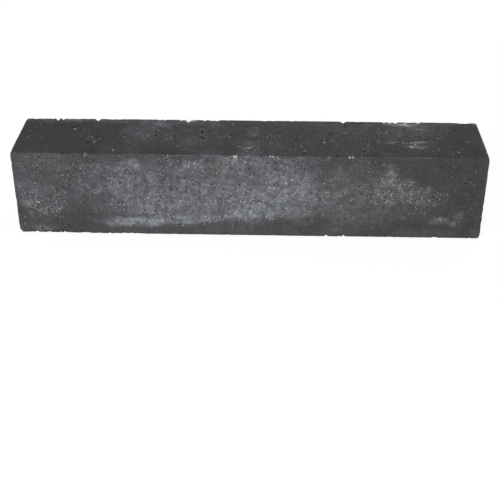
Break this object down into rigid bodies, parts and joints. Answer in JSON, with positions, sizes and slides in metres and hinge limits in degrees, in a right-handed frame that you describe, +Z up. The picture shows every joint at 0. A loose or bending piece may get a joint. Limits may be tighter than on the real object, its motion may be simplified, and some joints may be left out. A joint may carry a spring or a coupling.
{
  "type": "garden wall block",
  "caption": "Long, slender solid block of pressed anthracite concrete with worn arrises, stacked in courses to build a low garden wall.",
  "frame": {"origin": "middle of the bed face, on the surface that the block stands on", "axes": "+X along the length towards the right end, +Y from the front face to the back face, +Z up"},
  "size_m": [0.6, 0.1, 0.12],
  "materials": {
    "anthracite_concrete": "matte pressed concrete, coloured through, with pale lime bloom"
  },
  "bodies": {
    "root": {"wall_block": "anthracite_concrete"}
  },
  "joints": []
}
